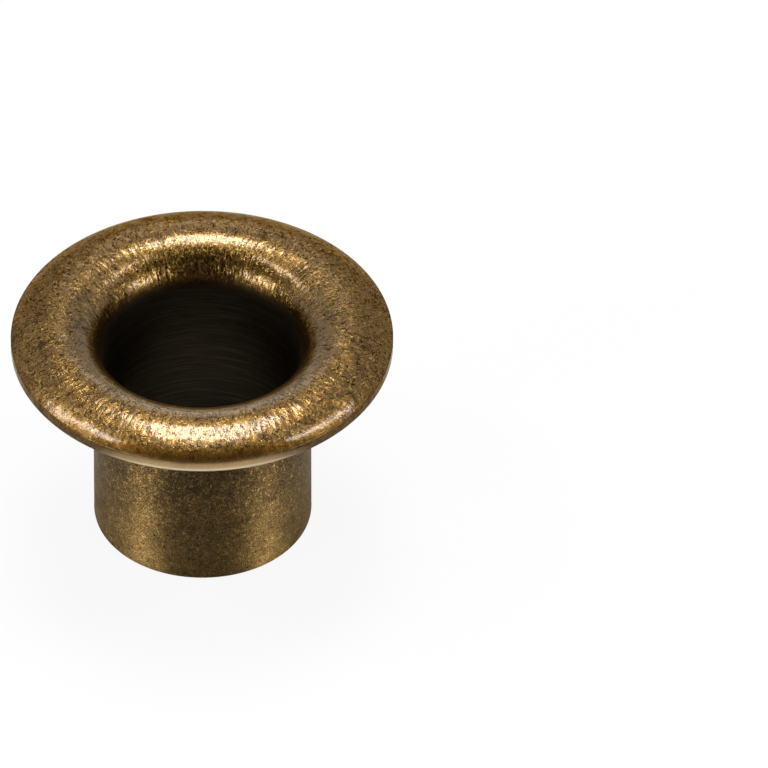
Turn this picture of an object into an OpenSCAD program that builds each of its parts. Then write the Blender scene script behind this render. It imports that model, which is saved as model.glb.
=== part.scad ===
// Flanged eyelet, one piece of brass on the Z axis. The free end of its thin barrel is at z = 0.
// At the top the bore opens through a rolled throat into a thick ring of a flange,
// with a domed face, a plain rim band and a gently crowned underside.
// The section is drawn with X as the radius and Y as the height, and turned once round the axis.

/* [Barrel] */
// Outside diameter of the barrel
barrel_d = 10; // [8:0.1:11]
// Wall of the barrel
barrel_wall = 0.45; // [0.3:0.05:0.8]
// Rounding of the free end, inside and outside
lip_r = 0.12; // [0.04:0.01:0.14]

/* [Face of the flange] */
// Height from the free end to the crown of the face
crown_h = 11.2; // [8:0.1:16]
// Diameter of the rim
rim_d = 17.5; // [16:0.1:20]
// Radius of the roll between the bore and the crown
throat_r = 2; // [1.2:0.1:2.2]
// Drop of the face from the crown to the rim
face_drop = 0.8; // [0.5:0.05:1.2]
// Height of the plain band round the rim
band_h = 0.45; // [0.2:0.05:0.8]

/* [Underside of the flange] */
// Radius of the rounding below the band
edge_r = 0.5; // [0.3:0.05:0.8]
// Slope of the rounding where it meets the band, in degrees
edge_slope = 64; // [50:1:80]
// Radius of the gentle crown of the underside
seat_r = 8.6; // [6:0.1:12]
// Slope of the underside where it meets the rounding, in degrees
seat_slope = 25; // [18:1:30]

/* [Neck] */
// Fillet between the barrel and the underside
neck_r = 0.75; // [0.3:0.05:1]
// Width of the raised ring round the fillet
ring_w = 0.28; // [0.2:0.02:0.4]
// Height of the raised ring
ring_h = 0.06; // [0.03:0.01:0.1]
// How far the ring laps over the end of the fillet
ring_lap = 0.02; // [0.01:0.01:0.05]
// Width of the groove round the ring
groove_w = 0.1; // [0.06:0.01:0.2]
// Depth of the groove
groove_h = 0.05; // [0.02:0.01:0.06]

/* [Hidden] */
$fn = 180;

barrel_r = barrel_d / 2;
bore_r = barrel_r - barrel_wall;
rim_r = rim_d / 2;

// The crown is where the throat's roll and the arc of the face meet, both level.
crown_x = bore_r + throat_r;
throat_z = crown_h - throat_r;
face_run = rim_r - crown_x;
face_r = (face_run * face_run + face_drop * face_drop) / (2 * face_drop);
face_z = crown_h - face_r;

// The rounding starts at the band's lower edge and meets the underside's arc where both have seat_slope.
// It stands proud of that arc by a hair, so that the two cross cleanly and leave no sliver.
hair = 0.0005;
band_z = crown_h - face_drop - band_h;
edge_x = rim_r - edge_r * sin(edge_slope);
edge_z = band_z + edge_r * cos(edge_slope);
join_x = edge_x + edge_r * sin(seat_slope);
seat_x = edge_x - (seat_r - edge_r + hair) * sin(seat_slope);
seat_z = edge_z + (seat_r - edge_r + hair) * cos(seat_slope);
function under_z(x) = seat_z - sqrt(seat_r * seat_r - (x - seat_x) * (x - seat_x));

// The fillet touches the barrel at neck_z and the underside at touch_x.
neck_x = barrel_r + neck_r;
neck_z = seat_z - sqrt((seat_r + neck_r) * (seat_r + neck_r) - (neck_x - seat_x) * (neck_x - seat_x));
touch_x = neck_x - neck_r * (neck_x - seat_x) / (seat_r + neck_r);
ring_x = touch_x - ring_lap + ring_w / 2;
groove_x = ring_x + ring_w / 2 + groove_w / 2;

// Radius of the arc that stands h high over a chord w wide
function bow_r(w, h) = (w * w / 4 + h * h) / (2 * h);

// Rectangle between two corners
module area(x0, z0, x1, z1) {
    translate([x0, z0]) square([x1 - x0, z1 - z0]);
}

module disc(x, z, r) {
    translate([x, z]) circle(r);
}

// The barrel's wall, with both corners of its free end rounded
module barrel_section() {
    area(bore_r, lip_r, barrel_r, throat_z);
    area(bore_r + lip_r, 0, barrel_r - lip_r, 2 * lip_r);
    disc(bore_r + lip_r, lip_r, lip_r);
    disc(barrel_r - lip_r, lip_r, lip_r);
}

// All that lies below the throat's roll and the domed face
module below_face() {
    intersection() {
        disc(crown_x, throat_z, throat_r);
        area(0, throat_z, crown_x, crown_h + throat_r);
    }
    area(bore_r, 0, crown_x, throat_z);
    intersection() {
        disc(crown_x, face_z, face_r);
        area(crown_x, face_z, rim_r, crown_h + face_r);
    }
    area(crown_x, 0, rim_r, face_z);
}

// All that lies above the crowned underside and the rounding at the rim
module above_underside() {
    intersection() {
        disc(seat_x, seat_z, seat_r);
        union() {
            area(0, 0, join_x, seat_z);
            area(0, edge_z, 2 * rim_r, seat_z);
            disc(edge_x, edge_z, edge_r);
        }
    }
}

// A raised ring of half-round section, and the groove beside it
module ring_section() {
    disc(ring_x, under_z(ring_x) - ring_h + bow_r(ring_w, ring_h), bow_r(ring_w, ring_h));
}

module groove_section() {
    disc(groove_x, under_z(groove_x) + groove_h - bow_r(groove_w, groove_h), bow_r(groove_w, groove_h));
}

module flange_section() {
    intersection() {
        below_face();
        above_underside();
    }
}

// A block below the underside, hollowed to the fillet
module neck_section() {
    difference() {
        area(barrel_r - barrel_wall / 2, neck_z, neck_x, neck_z + neck_r + ring_w);
        disc(neck_x, neck_z, neck_r);
    }
}

module eyelet() {
    color("#7a6138")
        rotate_extrude()
            difference() {
                union() {
                    barrel_section();
                    neck_section();
                    flange_section();
                    ring_section();
                }
                groove_section();
            }
}

eyelet();
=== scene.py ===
# Flanged eyelet in antique brass: one turned surface with its patina, on a pale floor in soft light.
import math

import bpy
import numpy as np
from mathutils import Matrix


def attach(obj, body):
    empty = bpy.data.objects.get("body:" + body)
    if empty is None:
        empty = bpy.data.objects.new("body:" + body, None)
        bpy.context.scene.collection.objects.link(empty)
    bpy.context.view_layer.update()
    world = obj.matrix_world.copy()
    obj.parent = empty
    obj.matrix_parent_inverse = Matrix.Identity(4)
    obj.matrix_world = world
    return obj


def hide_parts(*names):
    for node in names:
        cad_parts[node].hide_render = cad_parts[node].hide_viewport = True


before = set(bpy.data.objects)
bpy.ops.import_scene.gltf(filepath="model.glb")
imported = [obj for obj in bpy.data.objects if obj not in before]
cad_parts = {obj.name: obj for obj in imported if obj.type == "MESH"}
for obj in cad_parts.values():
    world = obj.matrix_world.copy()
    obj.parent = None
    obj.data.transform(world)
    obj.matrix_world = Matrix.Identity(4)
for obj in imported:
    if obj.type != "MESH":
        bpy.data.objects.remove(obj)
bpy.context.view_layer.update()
mm = 0.001  # the scene is in metres, and the sizes below are in millimetres
perMm = 1 / mm

# the standard sRGB curve: straight up to the knee, and a power above it
srgb = {"steps": 255, "knee": 0.04045, "slope": 12.92, "offset": 0.055, "power": 2.4}

# the numbers of the Mix node's sockets: its factor, and the two numbers or two colours that it mixes
mixFactor, numberA, numberB, colourA, colourB = 0, 2, 3, 6, 7
mixed = {"data_type": "RGBA"}
smooth = {"interpolation_type": "SMOOTHSTEP"}  # a range that starts and ends gently
middle = 0.5  # of a noise, whose values run from 0 to 1


def fromHex(code):
    # an sRGB hex colour turned to the linear one that a shader takes
    parts = np.array([int(code[i:i + 2], 16) for i in (1, 3, 5)]) / srgb["steps"]
    curved = ((parts + srgb["offset"]) / (1 + srgb["offset"])) ** srgb["power"]
    linear = np.where(parts <= srgb["knee"], parts / srgb["slope"], curved)
    return (*linear.tolist(), 1.0)


def addNode(tree, kind, settings=None, links=None):
    # one node: settings go to its own properties or input sockets, and links come from a node or an output
    node = tree.nodes.new(kind)
    for name, value in (settings or {}).items():
        if isinstance(name, str) and hasattr(node, name):
            setattr(node, name, value)
        else:
            node.inputs[name].default_value = value
    for name, source in (links or {}).items():
        if isinstance(source, bpy.types.Node):
            source = next(output for output in source.outputs if output.enabled)
        tree.links.new(source, node.inputs[name])
    return node


def newMaterial(name):
    # a material whose node tree is still empty
    material = bpy.data.materials.new(name)
    material.use_nodes = True
    material.node_tree.nodes.clear()
    return material, material.node_tree


def thinLine(tree, channel, halfWidth, height):
    # height where the channel has its middle value, falling gently to 0 where it is halfWidth away from it
    off = addNode(tree, "ShaderNodeMath", {"operation": "SUBTRACT", 1: middle}, {0: channel})
    off = addNode(tree, "ShaderNodeMath", {"operation": "ABSOLUTE"}, {0: off})
    return addNode(tree, "ShaderNodeMapRange",
                   {**smooth, "From Max": halfWidth, "To Min": height, "To Max": 0.0}, {"Value": off})


# the eyelet's surface, in mm and degrees, on the same named values as its CAD source
eyeletForm = {
    "barrelRadius": 5.0,
    "boreRadius": 4.55,
    "lipRadius": 0.12,
    "crownHeight": 11.2,
    "rimRadius": 8.75,
    "throatRadius": 2.0,
    "faceDrop": 0.8,
    "bandHeight": 0.45,
    "bandCorner": 0.06,  # the crisp upper edge of the rim, just broken by tumbling
    "edgeRadius": 0.5,
    "edgeSlope": 64.0,
    "seatRadius": 8.6,
    "seatSlope": 25.0,
    "neckRadius": 0.75,
    "ringWidth": 0.28,
    "ringHeight": 0.06,
    "ringLap": 0.02,
    "grooveWidth": 0.1,
    "grooveDepth": 0.05,
    "inset": 0.0055,  # keeps the surface inside the CAD box
    "turns": 512,  # steps round the axis
    # points along each stretch of the section, with both of its ends
    "points": {"bore": 18, "film": 14, "throat": 16, "thinning": 15, "crown": 3, "face": 22, "fade": 6,
               "margin": 8, "corner": 4, "band": 5, "border": 3, "edge": 7, "seat": 15, "groove": 6,
               "ring": 9, "neck": 13, "barrel": 36, "lipSide": 5, "lipFlat": 2},
    # the throat's roll, in degrees up from the bore: where the bore's dark film ends, and where the throat's
    # smoother surface, painted greyer and paler in front as a painted reflection, begins to thin out and ends
    "filmTurn": 27.0,
    "thinTurn": 60.0,
    "throatTurn": 87.0,
    "livelyAtThin": 0.3,  # strength of the livelier dents, and of their painted brighter glints, from where that surface begins to thin out
    "outerAtCrown": 0.38,  # strength of the outer slope's zone at the crown, where 1 is that at the rim
    "marginTurn": 7.0,  # the outermost degrees of the face's arc, which tumbling leaves smooth
    "fadeTurn": 3.0,  # the degrees inside them over which the smoothness begins
    "borderShare": 0.12,  # lower share of the rim band that is rubbed pale
    "zoneReach": 0.09,  # how far along the section the zones melt into each other
    # zones that are full in front: their strength at the back, and the power with which they fall to it
    "fullInFront": {"throat": (0.08, 2), "margin": (0.25, 4)},
    # zones that are full at the back and gone in front: the power with which they fall
    "fullAtBack": {"outer": 1, "lively": 2},
    # how far to the front, as a share of the radius, the part of the rim painted pale as a reflection of the
    # floor begins and is full
    "paleFrom": 0.82,
    "paleFull": 0.98,
    "unpaintedHeight": 7.0,  # from here up the barrel is not painted lighter; below it the painted lightening grows toward the free end
    "laidRadius": 6.5,  # radius of the cylinder on which the face's patterns are laid out
    "waveLong": 1.5,  # longest and shortest wave of the tumbled unevenness
    "waveShort": 0.4,
    "waveCount": 160,
    "waveDepth": 0.014,
    "waveSpread": 3,  # standard deviations from the waves' mean to their lowest and highest values
    # share of the unevenness that is missing from each zone
    "calm": {"bore": 0.85, "barrel": 0.6, "band": 0.7, "margin": 0.6, "edge": 1.0, "border": 0.7},
    "seed": 7,
}
zoneNames = ("bore", "throat", "barrel", "band", "margin", "edge", "border", "outer", "lively")


def arcPart(centre, radius, start, end, count):
    # points at centre + radius * (cos a, sin a), with a going evenly from start to end in degrees
    a = np.radians(np.linspace(start, end, count))
    return np.stack([centre[0] + radius * np.cos(a), centre[1] + radius * np.sin(a)], 1)


def linePart(start, end, count):
    # points evenly spaced on the straight line from start to end
    t = np.linspace(0, 1, count)[:, None]
    return np.array(start) * (1 - t) + np.array(end) * t


def angleTo(centre, point):
    # the direction from centre to point, in degrees
    return math.degrees(math.atan2(point[1] - centre[1], point[0] - centre[0]))


def bowRadius(width, height):
    # radius of the arc that stands so high over a chord of this width
    return (width * width / 4 + height * height) / (2 * height)


def eyeletProfile(form):
    # the closed section in (radius, height), bore first and then over the flange and down the barrel,
    # with the weight of each zone at each point
    rim, crown, bore, barrel = (form[k] for k in ("rimRadius", "crownHeight", "boreRadius", "barrelRadius"))
    throatR, edgeR, seatR, neckR = (form[k + "Radius"] for k in ("throat", "edge", "seat", "neck"))
    lip, corner = form["lipRadius"], form["bandCorner"]
    throatC = (bore + throatR, crown - throatR)
    run = rim - throatC[0]
    faceR = bowRadius(2 * run, form["faceDrop"])
    faceC = (throatC[0], crown - faceR)
    bandTop = crown - form["faceDrop"]
    bandLow = bandTop - form["bandHeight"]
    borderTop = bandLow + form["borderShare"] * form["bandHeight"]
    slope, seat = math.radians(form["edgeSlope"]), math.radians(form["seatSlope"])
    edgeC = (rim - edgeR * math.sin(slope), bandLow + edgeR * math.cos(slope))
    reach = seatR - edgeR
    seatC = (edgeC[0] - reach * math.sin(seat), edgeC[1] + reach * math.cos(seat))

    def under(x):
        # the point of the underside's arc at radius x
        return x, seatC[1] - math.sqrt(seatR ** 2 - (x - seatC[0]) ** 2)

    neckX = barrel + neckR
    neckC = (neckX, seatC[1] - math.sqrt((seatR + neckR) ** 2 - (neckX - seatC[0]) ** 2))
    touchX = neckX - neckR * (neckX - seatC[0]) / (seatR + neckR)
    ringX = touchX - form["ringLap"] + form["ringWidth"] / 2
    ringR = bowRadius(form["ringWidth"], form["ringHeight"])
    ringC = (ringX, under(ringX)[1] - form["ringHeight"] + ringR)
    ringIn = under(ringX - form["ringWidth"] / 2)
    grooveX = ringX + form["ringWidth"] / 2 + form["grooveWidth"] / 2
    grooveR = bowRadius(form["grooveWidth"], form["grooveDepth"])
    grooveC = (grooveX, under(grooveX)[1] + form["grooveDepth"] - grooveR)
    grooveIn, grooveOut = (under(grooveX + side * form["grooveWidth"] / 2) for side in (-1, 1))
    # where the corner's circle touches the face arc from inside and the band
    cornerX = rim - corner
    cornerC = (cornerX, faceC[1] + math.sqrt((faceR - corner) ** 2 - (cornerX - faceC[0]) ** 2))
    cornerTurn = angleTo(faceC, cornerC)
    marginStart = cornerTurn + form["marginTurn"]
    fadeStart = marginStart + form["fadeTurn"]
    seatStart = angleTo(seatC, (seatC[0] + seatR * math.sin(seat), seatC[1] - seatR * math.cos(seat)))
    filmEnd, thinStart, throatEnd = (180 - form[k] for k in ("filmTurn", "thinTurn", "throatTurn"))

    plain, inBore, inThroat = {}, {"bore": 1}, {"throat": 1, "lively": 1}
    thin = {"throat": 1, "lively": form["livelyAtThin"]}
    atCrown, atSlope, inMargin = {"outer": form["outerAtCrown"]}, {"outer": 1}, {"outer": 1, "margin": 1}
    onBand, onCorner, onBorder = {"band": 1}, {"band": 1, "edge": 1}, {"band": 1, "border": 1}
    onBarrel, onLip, inLip = {"barrel": 1}, {"barrel": 1, "edge": 1}, {"bore": 1, "edge": 1}
    n = form["points"]
    parts = [
        # points of each stretch, the zones' weights at its start, and those at its end where they differ
        (linePart((bore, lip), (bore, throatC[1]), n["bore"]), inBore),
        (arcPart(throatC, throatR, 180, filmEnd, n["film"]), inBore, inThroat),
        (arcPart(throatC, throatR, filmEnd, thinStart, n["throat"]), inThroat),
        (arcPart(throatC, throatR, thinStart, throatEnd, n["thinning"]), thin, plain),
        (arcPart(throatC, throatR, throatEnd, 90, n["crown"]), plain),
        (arcPart(faceC, faceR, 90, fadeStart, n["face"]), atCrown, atSlope),
        (arcPart(faceC, faceR, fadeStart, marginStart, n["fade"]), atSlope, inMargin),
        (arcPart(faceC, faceR, marginStart, cornerTurn, n["margin"]), inMargin),
        (arcPart(cornerC, corner, cornerTurn, 0, n["corner"]), onCorner),
        (linePart((rim, cornerC[1]), (rim, borderTop), n["band"]), onBand),
        (linePart((rim, borderTop), (rim, bandLow), n["border"]), onBorder),
        (arcPart(edgeC, edgeR, angleTo(edgeC, (rim, bandLow)), form["seatSlope"] - 90, n["edge"]), onBorder),
        (arcPart(seatC, seatR, seatStart, angleTo(seatC, grooveOut), n["seat"]), plain),
        (arcPart(grooveC, grooveR, angleTo(grooveC, grooveOut), angleTo(grooveC, grooveIn), n["groove"]),
         plain),
        (arcPart(ringC, ringR, angleTo(ringC, grooveIn), angleTo(ringC, ringIn), n["ring"]), {"edge": 1}),
        (arcPart(neckC, neckR, angleTo(neckC, under(touchX)), 180, n["neck"]), onBarrel),
        (linePart((barrel, neckC[1]), (barrel, lip), n["barrel"]), onBarrel),
        (arcPart((barrel - lip, lip), lip, 0, -90, n["lipSide"]), onLip),
        (linePart((barrel - lip, 0), (bore + lip, 0), n["lipFlat"]), onLip),
        (arcPart((bore + lip, lip), lip, -90, -180, n["lipSide"]), inLip),
    ]
    points, zones = [], []
    for part, *weights in parts:
        # each stretch after the first starts where the one before it ends, so its first point is left out
        part = part[1:] if points else part
        first, last = ([weight.get(name, 0) for name in zoneNames] for weight in (weights[0], weights[-1]))
        points.append(part)
        zones.append(np.linspace(first, last, len(part)))
    # and so is the very last one, which is the first one again
    return np.concatenate(points)[:-1], np.concatenate(zones)[:-1]


def softened(points, values, reach):
    # each value becomes the average of those within reach along the closed profile, nearer ones counting more
    step = np.linalg.norm(np.roll(points, -1, 0) - points, axis=1)
    along = np.concatenate([[0], np.cumsum(step)[:-1]])
    apart = np.abs(along[:, None] - along[None])
    apart = np.minimum(apart, step.sum() - apart)
    width = (step + np.roll(step, 1)) / 2
    weight = np.exp(-(apart / reach) ** 2) * width[None]
    return (weight @ values) / weight.sum(1, keepdims=True), along


def tumbledWaves(places, form):
    # the sum of many cosine waves that run in random directions through space, each with its own phase,
    # brought to 0..1 by their spread; the shorter the wave the lower it is
    chance = np.random.default_rng(form["seed"])
    direction = chance.normal(size=(form["waveCount"], 3))
    direction /= np.linalg.norm(direction, axis=1, keepdims=True)
    length = np.geomspace(form["waveShort"], form["waveLong"], form["waveCount"])
    phase = chance.uniform(0, 2 * math.pi, form["waveCount"])
    height = length / length.max()
    total = np.zeros(len(places))
    for d, l, p, h in zip(direction, length, phase, height):
        total += h * np.cos(places @ (d * (2 * math.pi / l)) + p)
    spread = total.std() * form["waveSpread"]
    return np.clip(0.5 + total / (2 * spread), 0, 1)


def makeEyelet(form):
    # the profile turned round the Z axis: x = r cos t, y = r sin t, z = height, then dented along its normal
    points, zones = eyeletProfile(form)
    zones, along = softened(points, zones, form["zoneReach"])
    tangent = np.roll(points, -1, 0) - np.roll(points, 1, 0)
    tangent /= np.linalg.norm(tangent, axis=1, keepdims=True)
    normal = np.stack([-tangent[:, 1], tangent[:, 0]], 1)
    rows, turns = len(points), form["turns"]
    turn = np.arange(turns) * (2 * math.pi / turns)
    cos, sin = np.cos(turn), np.sin(turn)
    place = np.stack([points[:, :1] * cos, points[:, :1] * sin, np.repeat(points[:, 1:], turns, 1)], 2)
    facing = np.stack([normal[:, :1] * cos, normal[:, :1] * sin, np.repeat(normal[:, 1:], turns, 1)], 2)
    place, facing = place.reshape(-1, 3), facing.reshape(-1, 3)

    # some zones fade round the eyelet, as the photograph shows them: toward the back the throat's own surface
    # with its painted pale reflection and the smooth margin with its painted amber reflection, toward the
    # front the outer slope's thin lacquer and the throat's livelier dents with their painted glints
    spread = np.repeat(zones, turns, 0)
    toFront = np.tile((1 - sin) / 2, rows)  # 0 at the very back, 1 in front
    for name, (back, power) in form["fullInFront"].items():
        spread[:, zoneNames.index(name)] *= back + (1 - back) * toFront ** power
    for name, power in form["fullAtBack"].items():
        spread[:, zoneNames.index(name)] *= (1 - toFront) ** power
    calm = 1 - np.clip(spread @ np.array([form["calm"].get(name, 0) for name in zoneNames]), 0, 1)
    # the rim is painted pale in front, by a smooth step, a painted reflection of the floor, and the barrel is
    # painted lighter toward its free end, against the shade of the floor it mirrors
    front = (np.tile(-sin, rows) - form["paleFrom"]) / (form["paleFull"] - form["paleFrom"])
    front = np.clip(front, 0, 1)
    low = np.repeat(1 - np.clip(points[:, 1] / form["unpaintedHeight"], 0, 1), turns)
    barrelShare = zones[:, zoneNames.index("barrel")]
    paintedPale = np.where(np.repeat(barrelShare, turns) > 0.5, low, front * front * (3 - 2 * front))
    # for the patterns, a copy of the surface laid on a plain cylinder, its height the way along the section
    laid = np.stack([np.tile(cos, rows), np.tile(sin, rows)], 1) * form["laidRadius"]
    laid = np.column_stack([laid, np.repeat(along, turns)]) * mm
    dent = form["inset"] + form["waveDepth"] * tumbledWaves(place, form) * calm
    place = (place - facing * dent[:, None]) * mm
    place[:, 2] = np.maximum(place[:, 2], 0)

    i, j = np.meshgrid(np.arange(rows), np.arange(turns), indexing="ij")
    nextI, nextJ = (i + 1) % rows, (j + 1) % turns
    corners = np.stack([i * turns + j, nextI * turns + j, nextI * turns + nextJ, i * turns + nextJ], 2)
    corners = corners.reshape(-1, 4)
    mesh = bpy.data.meshes.new("eyeletSurface")
    mesh.from_pydata(place, [], corners)
    mesh.polygons.foreach_set("use_smooth", np.ones(len(corners), bool))
    # the barrel's faces take the second material
    onBarrel = (barrelShare + np.roll(barrelShare, -1)) / 2 > 0.5
    mesh.polygons.foreach_set("material_index", np.repeat(onBarrel, turns).astype(np.int32))
    # the UV map: once round the axis to the right, once along the closed section upward
    total = along[-1] + np.linalg.norm(points[0] - points[-1])
    height = np.append(along, total) / total
    unrolled = mesh.uv_layers.new(name="unrolled")
    u = np.stack([j, j, j + 1, j + 1], 2) / turns
    v = np.stack([height[i], height[i + 1], height[i + 1], height[i]], 2)
    unrolled.data.foreach_set("uv", np.stack([u, v], 3).astype(np.float32).ravel())
    for name, values in zip((*zoneNames, "paintedPale"), (*spread.T, paintedPale)):
        layer = mesh.attributes.new(name, "FLOAT", "POINT")
        layer.data.foreach_set("value", values.astype(np.float32))
    layer = mesh.attributes.new("laid", "FLOAT_VECTOR", "POINT")
    layer.data.foreach_set("vector", laid.astype(np.float32).ravel())
    mesh.validate()
    piece = bpy.data.objects.new("eyeletBrass", mesh)
    bpy.context.scene.collection.objects.link(piece)
    print("eyelet surface:", rows, "rows,", len(mesh.vertices), "points,",
          2 * len(mesh.polygons), "triangles")
    return piece


# the finish of the flange and the bore; sizes and depths are in mm
faceLook = {
    "oxide": "#1e150a",  # nearly black film left in pits and creases
    "patina": "#563e16",  # brown film that covers most of it
    "brass": "#6f5220",  # film worn thin by tumbling
    "curl": "#a27d3a",  # short raised curls, rubbed nearly bare
    "curlPaintedGlint": "#d8a850",  # the same, painted brighter at the back of the throat as glints
    "rimPaintedAmber": "#744c12",  # a deeper amber along the rim's margin, a painted dark reflection, strongest in front
    "throatPaintedGrey": "#786547",  # greyer and paler film in front of the hole, a painted reflection there, on a smoother surface
    "boreFilm": "#39332a",  # dark film in the bore, and the mandrel's lines in it
    "boreLine": "#564b41",
    "bandFilmAndDarkReflection": "#30261a",  # the rim's plain band, its film darkened as a painted dark reflection to the sides, and painted pale in front as a painted reflection of the floor
    "bandPaintedPale": "#ccae82",
    "borderFilm": "#4c3f2e",  # lower edge of that band, and where it is painted pale in front, a painted reflection of the floor
    "borderPaintedPale": "#f2dfc2",
    "edgeTint": "#d8bf92",  # keeps the metal golden where it is seen at a low angle
    "rippleSize": 0.2,  # faint ripples from hole to rim, which feather the ends of every gleam
    "rippleStretch": 3.5,
    "rippleDepth": 0.016,
    "rippleNoise": {"Detail": 0.0, "Distortion": 0.4},
    "dimpleSize": 0.32,  # shallow dimples, which the lacquer fills
    "dimpleDepth": 0.015,
    "dimpleNoise": {"Detail": 0.0, "Distortion": 0.5},
    "curlSize": 0.165,  # curls and creases
    "curlStretch": 1.3,  # how much longer they are from hole to rim than round the face
    "curlNoise": {"Detail": 0.4, "Roughness": 0.5, "Distortion": 1.2},
    "curlWidth": 0.06,  # half widths of the lines, in the noise's own values
    "creaseWidth": 0.092,
    "curlBreak": {"From Min": 0.4, "From Max": 0.6},  # where another noise breaks the lines up
    "creaseBreak": {"From Min": 0.2, "From Max": 0.45},
    "creaseDark": 0.92,  # how dark the creases are, where 1 is the oxide
    "reliefDepth": 0.0017,
    "lacquerRelief": 0.0012,  # depth of the same lines in the lacquer
    "cloudSize": 1.1,  # soft clouds of wear
    "cloudNoise": {"Detail": 4.0, "Roughness": 0.55, "Distortion": 0.4},
    "wornCurls": 0.4,  # share of the finer noise in the wear
    "wornRange": {"From Min": 0.5, "From Max": 0.9},
    "pitSize": 0.5,  # dark pits, which gather where the clouds are low
    "pitNoise": {"Detail": 3.0, "Roughness": 0.65, "Distortion": 1.0},
    "pitClouds": 0.7,
    "pitRange": {"From Min": 0.79, "From Max": 0.58, "To Max": 0.6},
    "boreLineSize": 0.05,  # the mandrel's lines, wider than real ones so that they show
    "boreLineLength": 2.5,
    "boreLineDepth": 0.0008,
    "boreLineNoise": {"Scale": 1.0, "Detail": 2.0, "Roughness": 0.6},
    "boreLineRange": {"From Min": 0.45, "From Max": 0.75},
    # what the zones add to the strength of the relief and the marks, the band to both and others to each
    "bandCalm": -0.4,
    "reliefZones": {"margin": -0.85, "throat": -0.9, "lively": 0.6},
    "reliefLeast": 0.06,
    "markZones": {"margin": -0.4, "throat": -0.3},
    # share of the painted dark amber that shows in the margin, and what is added in front, where the rim is
    # painted pale
    "rimPaintedAmberShare": 0.2,
    "rimPaintedAmberFront": 0.6,
    "throatPaintedGreyShare": 0.8,
    "bandShare": 0.5,
    "filmRoughness": 0.33,
    "brassRoughness": 0.28,
    "zoneRoughness": {"throat": 0.42, "lively": 0.3, "bore": 0.45, "edge": 0.55},
    "lacquer": 0.95,
    # what zones and dark film add to the lacquer: it is thinner on edges and on the outer slope at the back
    "lacquerZones": {"band": -0.5, "edge": -0.5, "outer": -0.85, "lively": -0.4},
    "lacquerDark": -0.95,
    "lacquerRoughness": 0.09,
}


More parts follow.
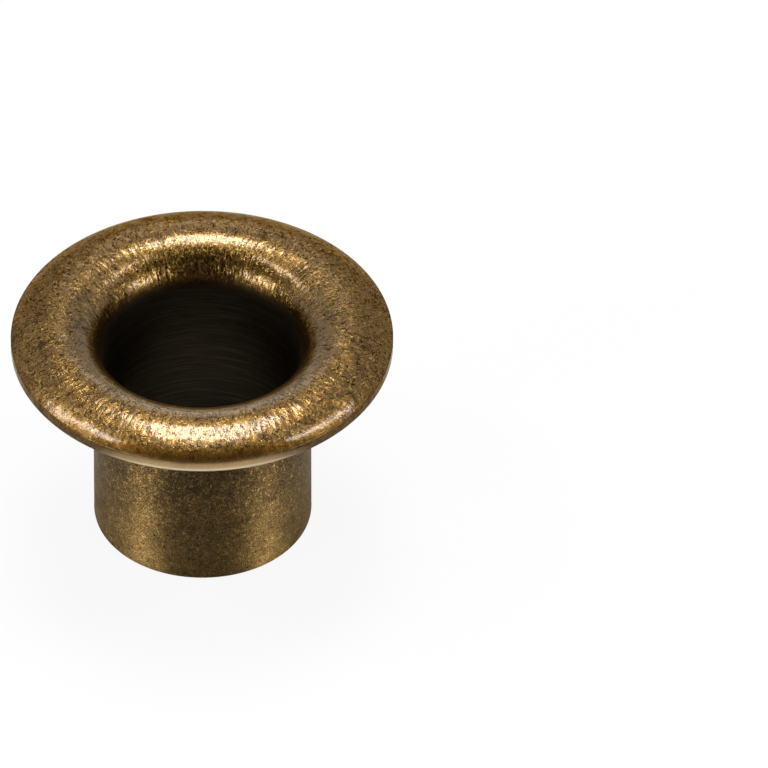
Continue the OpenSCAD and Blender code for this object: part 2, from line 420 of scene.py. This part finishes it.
def tumbledBrass(look):
    # brass, tumbled after it was blackened, then lacquered: a worn golden-brown film with soft clouds, thin
    # dark creases and short raised curls rubbed to gold, which draw fine lines across every bright gleam
    material, tree = newMaterial("antiqueBrassTumbled")
    place = addNode(tree, "ShaderNodeTexCoord").outputs["Object"]
    zone = {name: addNode(tree, "ShaderNodeAttribute", {"attribute_name": name}).outputs["Fac"]
            for name in (*zoneNames, "paintedPale")}
    laid = addNode(tree, "ShaderNodeAttribute", {"attribute_name": "laid"}).outputs["Vector"]
    # the laid copy squeezed along the section, which draws its patterns out from hole to rim
    long, longer = (addNode(tree, "ShaderNodeMapping", {"Scale": (1.0, 1.0, 1 / stretch)}, {"Vector": laid})
                    for stretch in (look["curlStretch"], look["rippleStretch"]))
    patterns = {"ripple": longer, "dimple": long, "curl": long, "cloud": place, "pit": place}
    ripples, dimples, swirl, clouds, pits = (
        addNode(tree, "ShaderNodeTexNoise", {"Scale": perMm / look[name + "Size"], **look[name + "Noise"]},
                {"Vector": where}) for name, where in patterns.items())

    # a curl is the thin line where one channel of the swirl noise passes its middle value, and a crease is
    # the same line of another channel
    channels = addNode(tree, "ShaderNodeSeparateColor", {}, {"Color": swirl.outputs["Color"]})
    curl = thinLine(tree, channels.outputs["Red"], look["curlWidth"], 1.0)
    crease = thinLine(tree, channels.outputs["Green"], look["creaseWidth"], 1.0)
    broken = addNode(tree, "ShaderNodeMapRange", {**smooth, **look["curlBreak"]},
                     {"Value": channels.outputs["Blue"]})
    curl = addNode(tree, "ShaderNodeMath", {"operation": "MULTIPLY"}, {0: curl, 1: broken})
    broken = addNode(tree, "ShaderNodeMapRange", {**smooth, **look["creaseBreak"]}, {"Value": dimples})
    crease = addNode(tree, "ShaderNodeMath", {"operation": "MULTIPLY"}, {0: crease, 1: broken})

    # how strong the relief and the marks are: full on the bare face, and more or less by each zone's share
    bare = addNode(tree, "ShaderNodeMath", {"operation": "SUBTRACT", 0: 1.0, "use_clamp": True},
                   {1: zone["bore"]})
    offBand = addNode(tree, "ShaderNodeMath", {"operation": "MULTIPLY_ADD", 1: look["bandCalm"]},
                      {0: zone["band"], 2: bare})
    strength = marked = offBand
    for name, share in look["reliefZones"].items():
        strength = addNode(tree, "ShaderNodeMath", {"operation": "MULTIPLY_ADD", 1: share},
                           {0: zone[name], 2: strength})
    strength = addNode(tree, "ShaderNodeMath", {"operation": "MAXIMUM", 1: look["reliefLeast"]},
                       {0: strength})
    for name, share in look["markZones"].items():
        marked = addNode(tree, "ShaderNodeMath", {"operation": "MULTIPLY_ADD", 1: share, "use_clamp": True},
                         {0: zone[name], 2: marked})

    worn = addNode(tree, "ShaderNodeMath", {"operation": "MULTIPLY_ADD", 1: look["wornCurls"]},
                   {0: channels.outputs["Blue"], 2: clouds})
    worn = addNode(tree, "ShaderNodeMapRange", {**smooth, **look["wornRange"]}, {"Value": worn})
    dark = addNode(tree, "ShaderNodeMath", {"operation": "MULTIPLY_ADD", 1: look["pitClouds"]},
                   {0: clouds, 2: pits})
    dark = addNode(tree, "ShaderNodeMapRange", {**smooth, **look["pitRange"]}, {"Value": dark})
    creased = addNode(tree, "ShaderNodeMath", {"operation": "MULTIPLY"}, {0: crease, 1: marked})
    creased = addNode(tree, "ShaderNodeMath", {"operation": "MULTIPLY", 1: look["creaseDark"]}, {0: creased})
    dark = addNode(tree, "ShaderNodeMath", {"operation": "MAXIMUM"}, {0: dark, 1: creased})
    gold = addNode(tree, "ShaderNodeMath", {"operation": "MULTIPLY"}, {0: curl, 1: marked})

    # the colour, from the lowest layer up: film, painted amber reflection, throat painted paler, curls with
    # painted glints at the back, oxide, band and border painted pale in front, and bore
    colour = addNode(tree, "ShaderNodeMix", {**mixed, colourA: fromHex(look["patina"]),
                                             colourB: fromHex(look["brass"])}, {mixFactor: worn})
    # the amber is a painted dark reflection along the margin, painted stronger in front
    amber = addNode(tree, "ShaderNodeMath", {"operation": "MULTIPLY_ADD", 1: look["rimPaintedAmberFront"],
                                             2: look["rimPaintedAmberShare"]}, {0: zone["paintedPale"]})
    amber = addNode(tree, "ShaderNodeMath", {"operation": "MULTIPLY"}, {0: zone["margin"], 1: amber})
    colour = addNode(tree, "ShaderNodeMix", {**mixed, colourB: fromHex(look["rimPaintedAmber"])},
                     {mixFactor: amber, colourA: colour})
    # the throat's greyer, paler film is a painted reflection, full in front of the hole
    inThroat = addNode(tree, "ShaderNodeMath", {"operation": "MULTIPLY", 1: look["throatPaintedGreyShare"]},
                       {0: zone["throat"]})
    colour = addNode(tree, "ShaderNodeMix", {**mixed, colourB: fromHex(look["throatPaintedGrey"])},
                     {mixFactor: inThroat, colourA: colour})
    # the curls at the back of the throat are painted brighter, as glints
    golden = addNode(tree, "ShaderNodeMix", {**mixed, colourA: fromHex(look["curl"]),
                                             colourB: fromHex(look["curlPaintedGlint"])},
                     {mixFactor: zone["lively"]})
    colour = addNode(tree, "ShaderNodeMix", mixed, {mixFactor: gold, colourA: colour, colourB: golden})
    colour = addNode(tree, "ShaderNodeMix", {**mixed, colourB: fromHex(look["oxide"])},
                     {mixFactor: dark, colourA: colour})
    # band and border are painted pale in front, a painted reflection of the floor, and the band is painted
    # dark to the sides
    bandPaleShare = addNode(tree, "ShaderNodeMath", {"operation": "SUBTRACT", "use_clamp": True},
                         {0: zone["paintedPale"], 1: zone["edge"]})
    band = addNode(tree, "ShaderNodeMix", {**mixed, colourA: fromHex(look["bandFilmAndDarkReflection"]),
                                           colourB: fromHex(look["bandPaintedPale"])}, {mixFactor: bandPaleShare})
    onBand = addNode(tree, "ShaderNodeMath", {"operation": "MULTIPLY", 1: look["bandShare"]},
                     {0: zone["band"]})
    colour = addNode(tree, "ShaderNodeMix", mixed, {mixFactor: onBand, colourA: colour, colourB: band})
    border = addNode(tree, "ShaderNodeMix", {**mixed, colourA: fromHex(look["borderFilm"]),
                                             colourB: fromHex(look["borderPaintedPale"])},
                     {mixFactor: zone["paintedPale"]})
    colour = addNode(tree, "ShaderNodeMix", mixed,
                     {mixFactor: zone["border"], colourA: colour, colourB: border})
    # the bore keeps the lines of the mandrel: noise squeezed along the axis and long round it
    across, along = perMm / look["boreLineLength"], perMm / look["boreLineSize"]
    squeezed = addNode(tree, "ShaderNodeMapping", {"Scale": (across, across, along)}, {"Vector": place})
    lines = addNode(tree, "ShaderNodeTexNoise", look["boreLineNoise"], {"Vector": squeezed})
    film = addNode(tree, "ShaderNodeMapRange", {**smooth, **look["boreLineRange"]}, {"Value": lines})
    film = addNode(tree, "ShaderNodeMix", {**mixed, colourA: fromHex(look["boreFilm"]),
                                           colourB: fromHex(look["boreLine"])}, {mixFactor: film})
    colour = addNode(tree, "ShaderNodeMix", mixed, {mixFactor: zone["bore"], colourA: colour, colourB: film})

    rough = addNode(tree, "ShaderNodeMapRange", {"To Min": look["filmRoughness"],
                                                 "To Max": look["brassRoughness"]}, {"Value": worn})
    for name, value in look["zoneRoughness"].items():
        rough = addNode(tree, "ShaderNodeMix", {"data_type": "FLOAT", numberB: value},
                        {mixFactor: zone[name], numberA: rough})
    lacquer = bare
    for name, share in look["lacquerZones"].items():
        lacquer = addNode(tree, "ShaderNodeMath", {"operation": "MULTIPLY_ADD", 1: share},
                          {0: zone[name], 2: lacquer})
    lacquer = addNode(tree, "ShaderNodeMath", {"operation": "MULTIPLY_ADD", 1: look["lacquerDark"]},
                      {0: dark, 2: lacquer})
    lacquer = addNode(tree, "ShaderNodeMath",
                      {"operation": "MULTIPLY", 1: look["lacquer"], "use_clamp": True}, {0: lacquer})

    relief = addNode(tree, "ShaderNodeMath", {"operation": "SUBTRACT"}, {0: curl, 1: crease})
    rippled = addNode(tree, "ShaderNodeBump", {"Distance": look["rippleDepth"] * mm},
                      {"Strength": strength, "Height": ripples})
    dimpled = addNode(tree, "ShaderNodeBump", {"Distance": look["dimpleDepth"] * mm},
                      {"Strength": strength, "Height": dimples, "Normal": rippled})
    bump = addNode(tree, "ShaderNodeBump", {"Distance": look["reliefDepth"] * mm},
                   {"Strength": strength, "Height": relief, "Normal": dimpled})
    bump = addNode(tree, "ShaderNodeBump", {"Distance": look["boreLineDepth"] * mm},
                   {"Strength": zone["bore"], "Height": lines, "Normal": bump})
    # the lacquer fills the dimples and follows only the ripples, the curls and the creases
    overFilm = addNode(tree, "ShaderNodeBump", {"Distance": look["lacquerRelief"] * mm},
                       {"Strength": strength, "Height": relief, "Normal": rippled})
    shader = addNode(tree, "ShaderNodeBsdfPrincipled",
                     {"Metallic": 1.0, "Specular Tint": fromHex(look["edgeTint"]),
                      "Coat Roughness": look["lacquerRoughness"]},
                     {"Base Color": colour, "Roughness": rough, "Coat Weight": lacquer,
                      "Normal": bump, "Coat Normal": overFilm})
    addNode(tree, "ShaderNodeOutputMaterial", {}, {"Surface": shader})
    return material


# the finish of the barrel and its lip; sizes and depths are in mm
barrelLook = {
    # film colours darker than the face's, partly a painted shade that stands in for the shadowed floor the
    # barrel mirrors
    "oxide": "#1a140d",
    "patina": "#2f2719",
    "brass": "#4a3b22",
    "curl": "#c29d5e",
    "paintedPaleShare": 0.3,  # share of the curl colour painted on at the free end, a painted lightening against the shade there
    "lipDark": 0.6,  # how much of the free end's rounding the dark film covers
    "curlSize": 0.125,
    "curlNoise": {"Detail": 0.0, "Distortion": 1.3},
    "curlWidth": 0.075,  # half widths of the lines, in the noise's own values
    "creaseWidth": 0.08,
    "creaseDark": 0.85,
    "reliefDepth": 0.0014,
    "breakSize": 0.2,  # patches that break the curls up into short strokes
    "breakNoise": {"Detail": 1.0, "Roughness": 0.5, "Distortion": 0.8},
    "breakRange": {"From Min": 0.32, "From Max": 0.58},
    "cloudSize": 1.2,
    "cloudNoise": {"Detail": 4.0, "Roughness": 0.55, "Distortion": 0.4},
    "cloudDark": {"From Min": 0.5, "From Max": 0.3, "To Max": 0.35},
    "wornCurls": 0.6,  # share of the finer noise in the wear
    "wornRange": {"From Min": 0.45, "From Max": 1.15},
    "roughness": 0.5,
    "anisotropy": 0.95,
    "acrossTurning": 0.25,  # a quarter turn: gleams stretch along the barrel, across its turning lines
    "lacquer": 0.08,
    "lacquerRoughness": 0.15,
}


def turnedBrass(look):
    # the same brass where it was drawn over a spinning mandrel: fine lines run round the barrel, so every
    # light stretches to an upright band, over short curly gold strokes and a darker film than the face has,
    # partly a painted shade, and painted lighter toward the free end
    material, tree = newMaterial("antiqueBrassTurned")
    place = addNode(tree, "ShaderNodeTexCoord").outputs["Object"]
    swirl, patches, clouds = (
        addNode(tree, "ShaderNodeTexNoise", {"Scale": perMm / look[name + "Size"], **look[name + "Noise"]},
                {"Vector": place}) for name in ("curl", "break", "cloud"))
    channels = addNode(tree, "ShaderNodeSeparateColor", {}, {"Color": swirl.outputs["Color"]})
    curl = thinLine(tree, channels.outputs["Red"], look["curlWidth"], 1.0)
    crease = thinLine(tree, channels.outputs["Green"], look["creaseWidth"], look["creaseDark"])
    broken = addNode(tree, "ShaderNodeMapRange", {**smooth, **look["breakRange"]}, {"Value": patches})
    gold = addNode(tree, "ShaderNodeMath", {"operation": "MULTIPLY"}, {0: curl, 1: broken})
    worn = addNode(tree, "ShaderNodeMath", {"operation": "MULTIPLY_ADD", 1: look["wornCurls"]},
                   {0: channels.outputs["Blue"], 2: clouds})
    worn = addNode(tree, "ShaderNodeMapRange", {**smooth, **look["wornRange"]}, {"Value": worn})
    # dark in the clouds, the creases and the lip
    lip = addNode(tree, "ShaderNodeAttribute", {"attribute_name": "edge"}).outputs["Fac"]
    lip = addNode(tree, "ShaderNodeMath", {"operation": "MULTIPLY", 1: look["lipDark"]}, {0: lip})
    dark = addNode(tree, "ShaderNodeMapRange", {**smooth, **look["cloudDark"]}, {"Value": clouds})
    for other in (crease, lip):
        dark = addNode(tree, "ShaderNodeMath", {"operation": "MAXIMUM"}, {0: dark, 1: other})
    # the barrel is painted lighter toward its free end, where it mirrors the shadowed floor
    paintedPale = addNode(tree, "ShaderNodeAttribute", {"attribute_name": "paintedPale"}).outputs["Fac"]
    paintedPale = addNode(tree, "ShaderNodeMath", {"operation": "MULTIPLY", 1: look["paintedPaleShare"]}, {0: paintedPale})
    colour = addNode(tree, "ShaderNodeMix", {**mixed, colourA: fromHex(look["patina"]),
                                             colourB: fromHex(look["brass"])}, {mixFactor: worn})
    for share, layer in ((paintedPale, "curl"), (gold, "curl"), (dark, "oxide")):
        colour = addNode(tree, "ShaderNodeMix", {**mixed, colourB: fromHex(look[layer])},
                         {mixFactor: share, colourA: colour})
    relief = addNode(tree, "ShaderNodeMath", {"operation": "SUBTRACT"}, {0: curl, 1: crease})
    bump = addNode(tree, "ShaderNodeBump", {"Distance": look["reliefDepth"] * mm}, {"Height": relief})
    around = addNode(tree, "ShaderNodeTangent", {"direction_type": "UV_MAP", "uv_map": "unrolled"})
    shader = addNode(tree, "ShaderNodeBsdfPrincipled",
                     {"Metallic": 1.0, "Roughness": look["roughness"], "Anisotropic": look["anisotropy"],
                      "Anisotropic Rotation": look["acrossTurning"], "Coat Weight": look["lacquer"],
                      "Coat Roughness": look["lacquerRoughness"]},
                     {"Base Color": colour, "Normal": bump, "Coat Normal": bump, "Tangent": around})
    addNode(tree, "ShaderNodeOutputMaterial", {}, {"Surface": shader})
    return material


eyelet = makeEyelet(eyeletForm)
eyelet.data.materials.append(tumbledBrass(faceLook))
eyelet.data.materials.append(turnedBrass(barrelLook))
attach(eyelet, "root")
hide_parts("eyelet")
print("eyelet finished in antique brass")

floorForm = {
    "radius": 3000.0,
    "rings": 40,
    "turns": 96,
    "colour": "#d0d0ce",
    "cameraShare": 0.9,  # how far the camera sees plain white in place of the lit floor and its shadow
}


def makeFloor(form):
    # a disc: rings whose radius grows as the square of their number, so that it is finest near the middle
    rings, turns = form["rings"], form["turns"]
    radius = (np.arange(1, rings + 1) / rings) ** 2 * form["radius"] * mm
    turn = np.arange(turns) * (2 * math.pi / turns)
    height = np.zeros((rings, turns))
    place = np.stack([radius[:, None] * np.cos(turn), radius[:, None] * np.sin(turn), height], 2)
    place = np.concatenate([place.reshape(-1, 3), np.zeros((1, 3))])
    i, j = np.meshgrid(np.arange(rings - 1), np.arange(turns), indexing="ij")
    nextJ = (j + 1) % turns
    quads = np.stack([i, i + 1, i + 1, i], 2) * turns + np.stack([j, j, nextJ, nextJ], 2)
    k = np.arange(turns)
    centre = np.stack([np.full_like(k, rings * turns), k, (k + 1) % turns], 1)
    mesh = bpy.data.meshes.new("paperFloor")
    mesh.from_pydata(place, [], quads.reshape(-1, 4).tolist() + centre.tolist())
    floor = bpy.data.objects.new("paperFloor", mesh)
    bpy.context.scene.collection.objects.link(floor)
    # matte paper, which gives a soft shadow and no gleam; the camera sees it mostly as plain white
    material, tree = newMaterial("matteWhitePaper")
    paper = addNode(tree, "ShaderNodeBsdfDiffuse", {"Color": fromHex(form["colour"])})
    white = addNode(tree, "ShaderNodeEmission", {"Strength": 1.0})
    path = addNode(tree, "ShaderNodeLightPath")
    share = addNode(tree, "ShaderNodeMath", {"operation": "MULTIPLY", 1: form["cameraShare"]},
                    {0: path.outputs["Is Camera Ray"]})
    both = addNode(tree, "ShaderNodeMixShader", {}, {"Fac": share, 1: paper, 2: white})
    addNode(tree, "ShaderNodeOutputMaterial", {}, {"Surface": both})
    mesh.materials.append(material)


makeFloor(floorForm)

# a dark cloth hangs round the front of the set, out of the camera's sight, so the metal has something dark to
# show; sizes are in mm, and it reaches halfTurn degrees to either side and from low to high above the floor
clothForm = {"radius": 2000.0, "halfTurn": 80.0, "low": 2.0, "high": 84.0, "steps": 24, "colour": "#7a7a7a"}


def hangCloth(form):
    # part of a sphere round the origin, halfTurn each way from the front and from low to high:
    # x = r cos lat sin lon, y = -r cos lat cos lon, z = r sin lat
    steps, r = form["steps"], form["radius"] * mm
    lon = np.radians(np.linspace(-form["halfTurn"], form["halfTurn"], steps))[None]
    lat = np.radians(np.linspace(form["low"], form["high"], steps))[:, None]
    place = np.stack(np.broadcast_arrays(r * np.cos(lat) * np.sin(lon), -r * np.cos(lat) * np.cos(lon),
                                         r * np.sin(lat)), 2)
    i, j = np.meshgrid(np.arange(steps - 1), np.arange(steps - 1), indexing="ij")
    k = i * steps + j
    quads = np.stack([k, k + steps, k + steps + 1, k + 1], 2).reshape(-1, 4)
    mesh = bpy.data.meshes.new("frontCloth")
    mesh.from_pydata(place.reshape(-1, 3), [], quads)
    hung = bpy.data.objects.new("frontCloth", mesh)
    bpy.context.scene.collection.objects.link(hung)
    material, tree = newMaterial("wovenCloth")  # dull all over, so it adds no gleam of its own
    dyed = addNode(tree, "ShaderNodeBsdfDiffuse", {"Color": fromHex(form["colour"])})
    addNode(tree, "ShaderNodeOutputMaterial", {}, {"Surface": dyed})
    mesh.materials.append(material)
    hung.visible_camera = False


hangCloth(clothForm)

# each softbox: direction from the object (x right, y behind, z up), half of its width and of its height as
# seen from the object in degrees, roll from level in degrees, and radiance, where 1 is white
softboxes = {
    "overhead": {"toward": (0.0, 0.292, 0.956), "half": (10.5, 11.8), "roll": 0.0, "radiance": 15.5},
    "overheadSmall": {"toward": (0.0, -0.05, 1.0), "half": (9.0, 1.8), "roll": 0.0, "radiance": 3.0},
    "leftSide": {"toward": (-0.61, 0.04, 0.79), "half": (15.0, 4.5), "roll": 49.0, "radiance": 10.2},
    "rightSide": {"toward": (0.61, 0.04, 0.79), "half": (14.0, 3.6), "roll": -49.0, "radiance": 10.4},
    "leftLow": {"toward": (-0.80, -0.56, 0.20), "half": (13.0, 11.0), "roll": 0.0, "radiance": 12.4},
    "rightLow": {"toward": (0.86, -0.46, 0.20), "half": (11.0, 11.0), "roll": 0.0, "radiance": 12.5},
    "backGlow": {"toward": (0.0, 0.90, 0.43), "half": (9.0, 12.0), "roll": 0.0, "radiance": 1.2},
}
# distance of the softboxes in mm, and the strength of the air as the camera and the gleams show it and as it
# lights all else
studio = {"distance": 900.0, "air": "#ffffff", "airSeen": 0.77, "airLight": 0.45}


def hangSoftbox(name, box):
    # a flat lamp that faces the object: its sides are 2 * distance * tan(half angle), and its power is
    # radiance * pi * area
    toward = np.array(box["toward"]) / np.linalg.norm(box["toward"])
    far = studio["distance"] * mm
    wide, high = (2 * far * math.tan(math.radians(half)) for half in box["half"])
    lamp = bpy.data.lights.new(name, "AREA")
    lamp.shape = "RECTANGLE"
    lamp.size, lamp.size_y = wide, high
    lamp.energy = box["radiance"] * math.pi * wide * high
    hung = bpy.data.objects.new(name, lamp)
    hung.location = toward * far
    # the box's own Z points away from the object; its width is level before the roll
    level = np.cross((0, 0, 1), toward)
    level /= np.linalg.norm(level)
    roll = math.radians(box["roll"])
    across = level * math.cos(roll) + np.cross(toward, level) * math.sin(roll)
    turned = np.stack([across, np.cross(toward, across), toward], 1)
    hung.rotation_mode = "QUATERNION"
    hung.rotation_quaternion = Matrix(turned.tolist()).to_quaternion()
    bpy.context.scene.collection.objects.link(hung)


for boxName, boxForm in softboxes.items():
    hangSoftbox(boxName, boxForm)

world = bpy.data.worlds.new("studioAir")
world.use_nodes = True
airTree = world.node_tree
airTree.nodes.clear()
path = addNode(airTree, "ShaderNodeLightPath")
seen = addNode(airTree, "ShaderNodeMath", {"operation": "ADD"},
               {0: path.outputs["Is Camera Ray"], 1: path.outputs["Is Glossy Ray"]})
seen = addNode(airTree, "ShaderNodeMath", {"operation": "ADD", "use_clamp": True},
               {0: seen, 1: path.outputs["Is Transmission Ray"]})
strength = addNode(airTree, "ShaderNodeMapRange", {"To Min": studio["airLight"], "To Max": studio["airSeen"]},
                   {"Value": seen})
air = addNode(airTree, "ShaderNodeBackground", {"Color": fromHex(studio["air"])}, {"Strength": strength})
addNode(airTree, "ShaderNodeOutputWorld", {}, {"Surface": air})
bpy.context.scene.world = world
print("floor, cloth, softboxes and air placed")

# elevation in degrees; aim, frameWidth, lens and sensor in mm; the clips in metres
view = {"elevation": 41.4, "aim": (8.323, 0.0, 7.5), "frameWidth": 35.16, "lens": 1400.0, "sensor": 36.0,
        "clipNear": 0.01, "clipFar": 20.0}
lens = bpy.data.cameras.new("photoCamera")
lens.lens, lens.sensor_width = view["lens"], view["sensor"]
lens.clip_start, lens.clip_end = view["clipNear"], view["clipFar"]
camera = bpy.data.objects.new("photoCamera", lens)
elevation = math.radians(view["elevation"])
distance = view["frameWidth"] * view["lens"] / view["sensor"] * mm
camera.location = (view["aim"][0] * mm, view["aim"][1] * mm - distance * math.cos(elevation),
                   view["aim"][2] * mm + distance * math.sin(elevation))
camera.rotation_euler = (math.pi / 2 - elevation, 0, 0)
bpy.context.scene.collection.objects.link(camera)
bpy.context.scene.camera = camera
bpy.context.scene.view_settings.view_transform = "Standard"
print("camera set at the photograph's angle")
